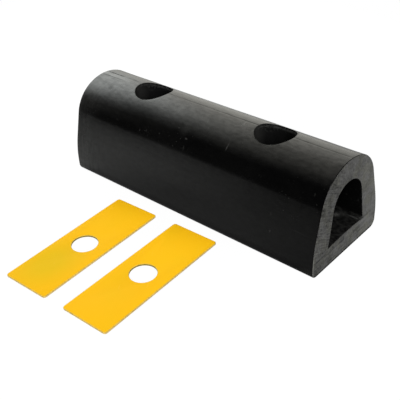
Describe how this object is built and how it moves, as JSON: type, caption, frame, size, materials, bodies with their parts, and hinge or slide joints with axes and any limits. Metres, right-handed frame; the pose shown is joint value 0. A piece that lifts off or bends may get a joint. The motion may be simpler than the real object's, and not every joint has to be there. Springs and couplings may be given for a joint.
{
  "type": "rubber bumper",
  "caption": "Black rubber D-section bumper with a through bore, access holes in its crown, and steel fixing plates laid beside it.",
  "frame": {"origin": "middle of the bumper's flat base face, where it meets the wall, dock or floor", "axes": "+X along the bumper's length, +Z out of the base through the crown, -Y towards the side where the plates lie"},
  "size_m": [0.3, 0.2604, 0.095],
  "materials": {
    "black_rubber": "satin skin, sawn ends",
    "yellow_paint": "satin powder coat"
  },
  "bodies": {
    "root": {"rubber_bumper": "black_rubber", "fixing_plate_1": "yellow_paint", "fixing_plate_2": "yellow_paint"}
  },
  "joints": []
}
